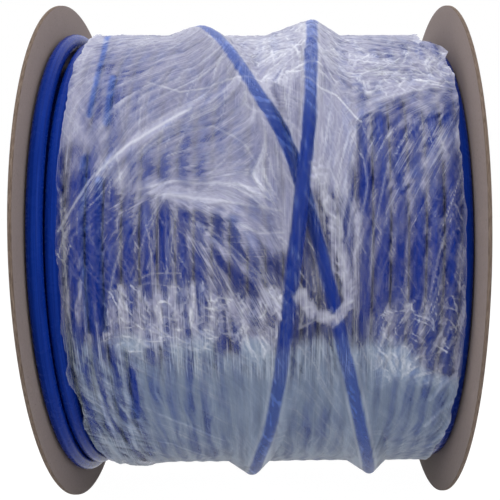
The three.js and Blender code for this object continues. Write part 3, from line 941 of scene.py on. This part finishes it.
guides = [
    # x in mm, angle, way or None, weight, reach in mm, and 1 or -1 for one that acts on one side only
    (-97, -6, None, 4, 60, 1), (-42, -17, None, 4, 40, -1), (106, -40, None, 3, 60),
    (-94, 130, None, 2, 60), (103, 150, None, 2, 55), (-96, 215, None, 2, 65), (103, 235, None, 2, 55),
    (-60, -62, -62, 4, 38), (-40, -42, -56, 3, 30), (-14, -50, -50, 3, 22), (-20, -28, -78, 3, 24),
    (-30, -20, 84, 2, 16), (-8, -8, 52, 4, 18), (4, 4, 42, 3, 16), (-75, 2, -6, 2, 30),
    (-76, 45, 10, 5, 40), (-78, 80, 6, 4, 30), (60, -62, 80, 4, 34), (75, -43, -62, 4, 22),
    (82, -18, -30, 5, 32), (58, -6, -10, 3, 26), (78, 14, -42, 2, 18), (86, 62, -58, 3, 30),
    (-24, 76, -66, 3, 30), (30, 84, -72, 3, 36), (0, -62, 80, 2, 20), (40, -24, -6, 4, 24),
]
main_lay = lay(5, guides, 76, along_tail=3.0)
jumbled_lay = lay(100, [], 78, 0.012)
other_jumbled_lay = lay(130, [], 81, 0.01)
turned_by = 34 + 22 * field_noise(0.04, 0.04, 0, 79)
cross_lay = swung(main_lay, turned_by)
rough_lay = swung(main_lay, 20 * field_noise(0.007, 0.012, 0, 80))
wide = streaks(main_lay, 0.026, 4, 201)
middling = streaks(rough_lay, 0.015, 1, 202)
fine = streaks(rough_lay, 0.012, 0, 207)
crossing = streaks(cross_lay, 0.014, 1, 203)
long_lines = streaks(main_lay, 0.032, 0, 204, 0.004)
short_lines = streaks(rough_lay, 0.009, 0, 205, 0.012)
cross_lines = streaks(cross_lay, 0.018, 0, 206, 0.005)
thin_folds = streaks(rough_lay, 0.014, 0, 211, 0.045)
thin_folds = np.maximum(thin_folds, 0.8 * streaks(cross_lay, 0.01, 0, 212, 0.025))
broad_folds = streaks(rough_lay, 0.012, 1, 213, 0.02)
dashes = streaks(jumbled_lay, 0.008, 0, 208, 0.014)
dashes = np.maximum(dashes, streaks(other_jumbled_lay, 0.005, 0, 210, 0.02))
specks = streaks(jumbled_lay, 0.003, 1, 209)


def under(border, soft=3.5):
    """1 below a border on the film and 0 above it, the border given as (x in mm, angle) places."""
    x, angle = np.array(border, float).T
    edge = np.interp(field_x * 1000 + ragged_x, x, angle) + 1.5 * ragged_angle
    return between(field_angle, edge - soft, edge + soft)


def ribbon(points, width):
    """1 along a band of doubled film through (x in mm, angle) places, fading to 0 beside it."""
    places = [np.array([x / 1000, math.radians(angle) * FILM_R]) for x, angle in points]
    gap = np.full_like(field_x, 1.0)
    for start, end in zip(places, places[1:]):
        ahead = end - start
        off_x, off_s = field_x - start[0], field_s - start[1]
        t = np.clip((off_x * ahead[0] + off_s * ahead[1]) / (ahead @ ahead), 0, 1)
        gap = np.minimum(gap, np.hypot(off_x - t * ahead[0], off_s - t * ahead[1]))
    return np.exp(-((gap / width) ** 4))


def bands(kinds):
    """The strongest of some ribbons, given as their strength, width and places."""
    return np.maximum.reduce([strength * ribbon(places, width) for strength, width, places in kinds])


# Parts of the film. Its front has a hazy top, a milky bottom and a clearer zone between them, and is
# crumpled in a band and some patches. The numbers are mm from the middle and degrees round the reel.
front = between(field_angle, -106, -96) * between(field_angle, 108, 98)
top_border = [
    (-95, -27), (-79, -24), (-67, -21), (-48, -15), (-24, -12), (-6, -10), (12, -2), (24, -6),
    (28, -16), (46, -16), (52, -33), (104, -40),
]
low_border = [
    (-95, 12), (-74, 17), (-50, 18), (-26, 17), (3, 16), (22, 13), (46, 12), (61, 15), (81, 21),
    (97, 28), (104, 30),
]
rope_path = [
    (31, -19), (34, -14), (37, -10), (40, -5), (43, -1), (45, 4), (45, 7), (42, 9), (39, 10),
    (34, 10), (29, 9), (25, 7), (22, 5),
]
top = front * (1 - under(top_border))
bottom = front * under(low_border)
high = top * between(field_angle, -24, -44)
back = 1 - front
band = area(-70, 16, 4, 17, 5, 2)
patch = area(58, 100, 8, 27, 5, 3)
glitter = area(-8, 60, -70, -42) + area(40, 101, -60, -42)
back_bands = area(-60, 40, 165, 182) + area(10, 92, 222, 240)
smooth = area(-60, 100, 24, 110, 8, 4)
crumple = np.clip(band + 0.6 * patch + 0.7 * glitter + 0.7 * back_bands + 0.2 * (1 - smooth), 0, 1)
column = area(27, 51, -40, 8, 5, 6)
doubled = area(-66, 10, -19, -12.5, 6, 2.5)
left_haze = area(-92, -80, -75, -14, 2, 5)
right_haze = area(44, 101, -36, -6)
bunched = area(-4, 28, -68, -40, 4, 4)
left_strip = area(-95, -58, 14, 104, 6, 4)
thin_strip = between(field_x * 1000, -87.5, -90) * between(field_angle, -24, -15)
thin_strip *= between(field_angle, 36, 28)
middle_zone = np.clip(front - top - bottom, 0, 1)

# Doubled film, the rope it is twisted into at the crossing, thin and broad creases, and clear stripes.
ribbons = bands([
    (1, 0.0045, [(-48, -18), (-10, -12), (3, 0), (17, 6)]),
    (1, 0.003, [(-24, -8), (3, 2), (16, 9)]),
    (1, 0.003, [(-91, -6), (-67, -24), (-26, -39), (4, -45)]),
    (1, 0.0035, [(54, -35), (63, -40), (76, -43), (95, -47), (104, -51)]),
    (1, 0.0032, [(62, -10), (71, -17), (84, -23), (99, -31)]),
    (0.7, 0.0018, [(63, -29), (68, -31), (86, -35), (101, -39)]),
    (0.7, 0.002, [(57, 7), (63, -4), (70, -9), (80, -18)]),
])
rope = ribbon(rope_path, 0.0034 + 0.0007 * specks)
flap = ribbon([(24, 8), (23, 10), (22, 12), (31, 10.5), (38, 9.5)], 0.0011)
broad = bands([
    (1, 0.0011, [(-90, 4), (-90, 13), (-89, 23), (-87, 35), (-81, 48), (-78, 62)]),
    (1, 0.0013, [(-82, 3), (-80, 13), (-79, 25), (-77, 37), (-74, 56)]),
    (0.8, 0.0009, [(-76, 7), (-75, 17), (-74, 29), (-73, 43), (-72, 62)]),
    (0.8, 0.001, [(-67, 7), (-66, 16), (-65, 26), (-66, 39), (-67, 59)]),
    (0.6, 0.0008, [(-50, 37), (-35, 42), (-18, 49)]),
    (0.6, 0.0008, [(-58, 48), (-45, 51), (-30, 60)]),
    (0.9, 0.0012, [(89, 33), (95, 28), (101, 25)]),
    (0.9, 0.0012, [(89, 43), (95, 37), (102, 33)]),
    (0.8, 0.001, [(94, 55), (98, 48), (104, 44)]),
])
curved_creases = [
    [(-26, -10), (-16, -1), (-6, 8), (-1, 19)],
    [(-25, -10), (-11, -5), (3, 1), (13, 5)],
    [(-19, -2), (-15, 4), (-11, 8)],
    [(-58, 3), (-49, 1), (-35, 1)],
    [(-57, 4), (-49, 3), (-37, 4)],
    [(-29, -11), (-18, -6), (-4, -1), (12, 4)],
    [(-48, -12), (-46, -5), (-50, 0)],
    [(-36, -12), (-40, -6), (-38, -1), (-42, 3)],
    [(-7, -9), (4, -7), (15, -7)],
    [(4, -1), (8, 5), (15, 8)],
    [(-53, -17), (-37, -19), (-18, -18), (8, -15)],
    [(-58, -15), (-39, -16), (-15, -14), (13, -11)],
    [(-35, -31), (-18, -32), (-3, -26), (5, -18)],
    [(47, -24), (47, -17), (45, -9), (44, -1)],
    [(53, -26), (54, -18), (50, -8), (49, 2)],
    [(63, -21), (60, -15), (56, -6), (55, 4)],
]
wavy = [[(x + 0.8 * math.sin(2 * angle), angle) for x, angle in path] for path in curved_creases]
thin = bands([(0.62, 0.0005, path) for path in wavy] + [
    (1, 0.0006, [(25, -41), (32, -38), (41, -38), (48, -35), (53, -33)]),
    (0.8, 0.0006, [(-52, -45), (-36, -42), (-11, -44), (4, -43)]),
    (0.8, 0.0007, [(-91, -8), (-77, -19), (-60, -27), (-30, -37)]),
    (0.7, 0.0005, [(-90, -15), (-88.5, -6), (-88, 4), (-87.5, 14), (-86, 22)]),
])
stripes = bands([
    (1, 0.0016, [(-83, -79), (-78, -57), (-78, -45), (-79, -35)]),
    (1, 0.0022, [(-70, -47), (-70, -33)]),
    (1, 0.0026, [(-79, -24), (-79, -8), (-78, 13)]),
    (1, 0.0024, [(-72, -19), (-72, 13)]),
    (1, 0.0022, [(-61, 24), (-61, 31), (-62, 38)]),
])


def turns_from_end(x, angle):
    """How many turns of line lie between a place on the film and the layer's end: whole on a crest."""
    return (x - LAYER_END_X) / PITCH - (WINDING_END_ANGLE - angle) / 360


# Away from the tail the film is pressed on the crests of the turns and hazy over their grooves.
free = 1 - np.clip(np.exp(-((field_to_tail / TENT_REACH) ** 2)), 0, 1)
patches = field_noise(0.014, 0.022, 0.3, 95)
patches = patches + 0.5 * field_noise(0.006, 0.01, -0.3, 96)
past_end = turns_from_end(field_x, field_angle)
groove = np.sin(math.pi * (past_end + 0.12 * middling + 0.12 * patches)) ** 2

# How milky the film is, from 0 for clear to 1 for white.
veil = 0.76 * top + 0.9 * bottom + 0.58 * band + 0.38 * patch + 0.38 * column - 0.165
veil += middle_zone * free * (0.07 + groove**1.6 * (0.36 + 0.22 * patches) * (1 - 0.45 * right_haze))
in_folds = 0.26 * thin_folds + 0.22 * broad_folds
veil += (middle_zone + back) * (0.34 * free * groove**6 + in_folds - 0.07)
veil -= top * free * (1 - groove) * np.clip(0.08 + 0.3 * patches, 0, 0.3)
veil -= bottom * (1 - groove) * (0.22 + 0.12 * patches)
veil += 0.44 * ribbons * (0.75 + 0.25 * middling) - 0.15 * left_strip
veil += right_haze * (0.15 + 0.14 * patches)
veil += 0.24 * doubled + 0.2 * left_haze + 0.2 * bunched + 0.12 * glitter
veil += 0.34 * broad * (1 - 0.3 * bottom)
veil += back * (0.42 + 0.25 * field_noise(0.04, 0.06, 0.2, 92))
contrast = 0.135 * (1 - 0.75 * smooth) * (1 - 0.45 * top)
contrast *= (1 + 0.4 * left_strip) * (1 - 0.6 * left_haze)
veil += contrast * (0.9 * wide + 0.42 * middling + 0.3 * fine + 0.36 * crossing)
veil += 0.06 * crumple * specks
veil -= stripes * (0.3 + 0.12 * fine) * (1 - 0.6 * top)
veil *= 1 - 0.4 * middle_zone * np.clip(1 - 0.6 * band - column, 0, 1)
veil = np.clip(veil * (1 - 0.7 * thin_strip), 0.0, 0.96)

# How white the creases are: painted highlights along the creases, folds, rope and dashes of crumpled film.
lines = np.maximum(long_lines * (0.85 - 0.6 * smooth), short_lines * (0.45 - 0.3 * smooth))
lines = np.maximum(lines, cross_lines * (0.75 - 0.4 * smooth))
lines *= (0.65 + 0.35 * field_noise(0.02, 0.02, 0, 94)) * (1 + 0.5 * patch)
crease_highlight = np.maximum.reduce([
    lines,
    np.clip(1.3 * crumple, 0, 1) * dashes,
    0.15 * doubled * np.clip(0.6 + 0.4 * middling, 0, 2),
    bunched * np.clip(0.25 * middling + 0.2 * fine + 0.15, 0, 0.8),
    0.8 * thin,
    0.5 * flap,
    broad * np.clip(0.16 + 0.1 * fine, 0, 1),
    rope * np.clip(0.15 + 0.42 * dashes + 0.12 * specks, 0, 1),
])

# How far the creases stand up, in metres; how far the haze is painted darker and bluer, as shade
# at the bottom and a little at the back; and where the film lies on the line, where the line's
# blue is painted into the haze as the line's light seen through it.
rise = 0.00007 * (wide + 1.3 * middling + 0.6 * fine + crossing) * (1 - 0.5 * smooth)
rise += (0.0004 * np.maximum(long_lines, cross_lines) + 0.0003 * short_lines) * (1 - 0.6 * smooth)
rise += crumple * (0.0002 * specks + 0.0003 * dashes) + 0.0003 * broad
rise += 0.001 * rope + 0.0004 * rope * specks
painted_shade_share = np.clip(0.85 * bottom + 0.25 * back, 0, 1)
# Where the film lies on the line, and in the clear stripes, the line's blue is painted into the haze as the
# line's light seen through it.
pressed_line_light = free * (1 - groove) * np.clip(0.5 + 0.6 * patches - 0.25 * wide, 0, 1)
pressed_line_light = np.clip(pressed_line_light * (0.85 * middle_zone + 0.5 * top + 0.6 * bottom + 0.6 * back), 0, 1)
pressed_line_light *= 1 - 0.7 * np.maximum(thin_folds, broad_folds)
pressed_line_light = np.maximum(pressed_line_light * (1 - 0.8 * np.maximum(doubled, left_haze)), stripes)


def on_film(field):
    """Reads a field of the even grid at the film's own points."""
    v = (film_s - field_s[0, 0]) / FILM_GIRTH * field_rows
    return read_table(field, (film_x - FIELD_FROM_X) / FIELD_CELL, v)


fields = (veil, crease_highlight, rise, painted_shade_share, pressed_line_light, crumple, rope, bottom, high, middling)
veil, crease_highlight, rise, painted_shade_share, pressed_line_light, crumple, rope, bottom, high, middling = map(on_film, fields)
smooth = on_film(np.maximum(smooth, 0.55 * top))

# Between the crests of the turns the film sinks a little, where it isn't lifted. On the crown of the
# tail it is stretched clear and the line's blue is painted into it, with a white highlight painted
# beside it on each side.
crest = np.cos(math.pi * turns_from_end(film_x, film_angle)) ** 2
tight = (1 - tented) * (0.55 + 0.45 * film_noise(film_x, film_s, 0.02, 0.04, 0.2, 73))
film_r += 0.0002 - 0.0004 * tight * (1 - crest)
on_crown = between(to_tail + 0.0002 * middling, 0.0038, 0.0024)
film_r += np.maximum(rise, -0.00015) * (1 - 0.6 * on_crown)

scratched = np.clip(on_film(crossing + fine) - 0.6, 0, 2)
veil = (veil + 0.06 * tented) * (1 - on_crown) + on_crown * (
    0.02 + 0.08 * veil + 0.16 * scratched + 0.32 * bottom + 0.42 * high
)
crease_highlight *= 1 - 0.55 * on_crown * (1 - rope)
veil = np.maximum(veil, rope * 0.8)
pressed_line_light = np.maximum(pressed_line_light, on_crown * (1 - 0.15 * (bottom + high))) * (1 - rope)
beside = between(np.abs(to_tail - 0.0042), 0.0011, 0.0003) * (1 - rope)
crease_highlight = np.maximum(crease_highlight, 0.32 * beside * (0.6 + 0.4 * sway))

# The cut edge is painted with a white highlight and curls up a little, and the film bulges
# low on the left.
at_edge = np.minimum(film_x - left_edge[:, None], right_edge[:, None] - film_x)
crease_highlight = np.maximum(crease_highlight, (0.3 + 0.25 * sway) * between(at_edge, 0.0014, 0.0003))
film_r += 0.0006 * between(at_edge, 0.003, 0.0)
bulge = np.exp(-(((film_x + 0.072) / 0.01) ** 2) - ((film_angle - 82) / 18) ** 2)
film_r += 0.0025 * bulge * between(at_edge, 0, 0.006)

clear_film = new_material("clear_film")
# The low shade is the haze painted darker and bluer, as shade, at the bottom and a little at the back.
MILKY_SHADE, LOW_PAINTED_SHADE = (0.325, 0.326, 0.46, 1), (0.235, 0.312, 0.435, 1)
# The line's blue, painted into the haze where the film lies on the line, as the line's light seen through
# it.
PAINTED_LINE_LIGHT = (0.07, 0.155, 0.53, 1)
# White painted highlights on creases, folds, hairs and the cut edge.
CREASE_HIGHLIGHT_SHADE = (0.92, 0.94, 1, 1)
CLEAR_SHADE = (0.85, 0.86, 0.92, 1)
HAIR_WAYS = 6
HAIR_T, HAIR_L = 0.0007, 0.03
CROSSED_BY = 42  # degrees between the two sets of scratches
FACET_SCALE = 300
HAZE_SHADOW = 0.4  # the haze scatters most light onwards, so its shadow is fainter than the haze


def read(label, output="Fac"):
    return add_node("Attribute", set_attribute_name=label).outputs[output]


# Hair-fine scratches of noise, each drawn out one way. The film's own lay picks among the ways.
flat = add_node("UVMap", set_uv_map="unrolled")
drawn_way = read("lay", "Vector")
scratches = {0: 0.0, CROSSED_BY: 0.0}
for k in range(HAIR_WAYS):
    way = math.pi * k / HAIR_WAYS
    seen_along = add_node(
        "Mapping",
        set_vector_type="TEXTURE",
        Vector=flat,
        Rotation=(0, 0, -way),
        Location=(0.31 * k, 0.17 * k, 0),
        Scale=(HAIR_T, HAIR_L, 1),
    )
    scratch = noise(seen_along, 1, 3, 0.7)
    for crossed in scratches:
        turn = 2 * (way - math.radians(crossed))
        likeness = vector_maths("DOT_PRODUCT", drawn_way, "Value", _1=(math.cos(turn), math.sin(turn), 0))
        weight = maths("POWER", maths("MAXIMUM", likeness, 0), 5)
        scratches[crossed] = plus(scratches[crossed], times(weight, scratch))
along_lay = scratches[0]
across_hairs = spread(scratches[CROSSED_BY], 0.56, 0.7, 0, 0.8)
hairlines = maths("MAXIMUM", spread(along_lay, 0.53, 0.66), across_hairs)

# Small facets where the film is crumpled, each bumped its own way and with its own haze, which paints
# it lighter or darker, as the light and shade of facets turned different ways.
crumpled = read("crumple")
tiny = add_node("TexNoise", Vector=where_on_piece(), Scale=220, Detail=3)
pushed = vector_maths("ADD", flat, _1=vector_maths("SCALE", tiny.outputs[1], Scale=0.0014))
taller = add_node("Mapping", Vector=pushed, Scale=(1.2, 0.75, 1))
facets = add_node("TexVoronoi", Vector=taller, Scale=FACET_SCALE, set_voronoi_dimensions="2D")
facet_height_and_shade = add_node("SeparateColor", _0=facets.outputs["Color"])

# How much of what lies behind is covered, by haze, hairs, facets and creases, and more at a slant.
# The facets add painted shade, and the lit hairs and the creases add painted highlights.
milky = read("veil")
calm = read("smooth")
swing = times(plus(along_lay, -0.53), spread(calm, 0, 1, 0.82, 0.16))
cover = plus(milky, times(swing, maths("MINIMUM", 1.0, plus(milky, 0.08))))
lit_hairs = times(hairlines, spread(calm, 0, 1, 0.25, 0.03))
painted_facet_shade = times(plus(facet_height_and_shade, -0.5), crumpled)
cover = plus(plus(cover, lit_hairs), times(painted_facet_shade, 0.3))
# The painted highlight of the creases and lit hairs, which also covers what lies behind.
painted_highlight = maths("MAXIMUM", times(read("crease_highlight"), 0.82), times(lit_hairs, 1.2))
facing = add_node("LayerWeight", Blend=0.5).outputs["Facing"]
thicker = maths("MULTIPLY_ADD", maths("POWER", facing, 2.0), 0.5, 1.0)
cover = times(maths("MAXIMUM", cover, painted_highlight), thicker)
cover = maths("MAXIMUM", maths("MINIMUM", cover, 0.96), 0.0)
for_shadow = add_node("LightPath").outputs["Is Shadow Ray"]
cover = times(cover, maths("MULTIPLY_ADD", for_shadow, HAZE_SHADOW - 1, 1.0))

height = plus(along_lay, times(hairlines, 0.4))
height = plus(height, times(times(facet_height_and_shade, crumpled), 0.8))
normal = bumped(height, 0.0005, 0.8)
# Painted shade: the haze darker and bluer at the bottom and a little at the back.
shade = blend_of(read("painted_shade_share"), MILKY_SHADE, LOW_PAINTED_SHADE)
# Painted light: the line's blue in the haze where the film lies on the line.
shade = blend_of(read("pressed_line_light"), shade, PAINTED_LINE_LIGHT)
# Painted highlights: creases and lit hairs turned white.
shade = blend_of(painted_highlight, shade, CREASE_HIGHLIGHT_SHADE)
haze = add_node("BsdfPrincipled", Base_Color=shade, Roughness=0.4, Normal=normal)
haze.inputs["Specular IOR Level"].default_value = 0.2
clear = add_node("BsdfTransparent", Color=CLEAR_SHADE)
body = add_node("MixShader", _0=cover, _1=clear, _2=haze)
gloss = add_node("BsdfGlossy", Color=WHITE, Roughness=0.14, Normal=normal)
grazing = add_node("LayerWeight", Blend=0.5, Normal=normal).outputs["Facing"]
mirror = maths("MULTIPLY_ADD", maths("POWER", grazing, 5.0), 0.12, 0.005)
shiny = add_node("MixShader", _0=mirror, _1=body, _2=gloss)
add_node("OutputMaterial", Surface=shiny)

film_looks = {
    "veil": veil, "crease_highlight": crease_highlight, "painted_shade_share": painted_shade_share, "crumple": crumple, "smooth": smooth, "pressed_line_light": pressed_line_light
}
film_lay = np.stack([on_film(main_lay[0]), on_film(main_lay[1]), 0 * film_x], -1)
film_points = on_reel(film_angle, film_x, film_r)
closed = np.concatenate([film_points[-1:], film_points, film_points[:1]])
down = closed[2:] - closed[:-2]
across = np.gradient(film_points, axis=1)
film_normals = np.cross(across, down)
film_normals /= np.linalg.norm(film_normals, axis=-1)[..., None]
middle = len(front_angles) // 2
last = len(front_angles) - 1
whole = np.arange(len(row_angle) + 1) % len(row_angle)
for name, rows in [
    ("film_front_upper", whole[: middle + 1]),
    ("film_front_lower", whole[middle : last + 1]),
    ("film_back", whole[last:]),
]:
    many = len(rows)
    grid = np.arange(many * FILM_COLUMNS).reshape(many, FILM_COLUMNS)
    faces = np.stack([grid[:-1, :-1], grid[:-1, 1:], grid[1:, 1:], grid[1:, :-1]], -1).reshape(-1, 4)
    film = add_mesh(name, film_points[rows].reshape(-1, 3), faces, clear_film)
    for label, values in film_looks.items():
        store_on(film, label, values[rows])
    store_on(film, "lay", film_lay[rows], "vector")
    unrolled = film.data.uv_layers.new(name="unrolled")
    s_here = film_s[rows].copy()
    s_here[np.arange(many) > np.argmax(rows)] += FILM_GIRTH
    flat_places = np.stack([film_x[rows], s_here], -1).reshape(-1, 2)
    corners = np.empty(len(film.data.loops), int)
    film.data.loops.foreach_get("vertex_index", corners)
    unrolled.data.foreach_set("uv", flat_places[corners].ravel())
    film.data.normals_split_custom_set_from_vertices(film_normals[rows].reshape(-1, 3))
    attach(film, "root")
    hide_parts("film_wrap")
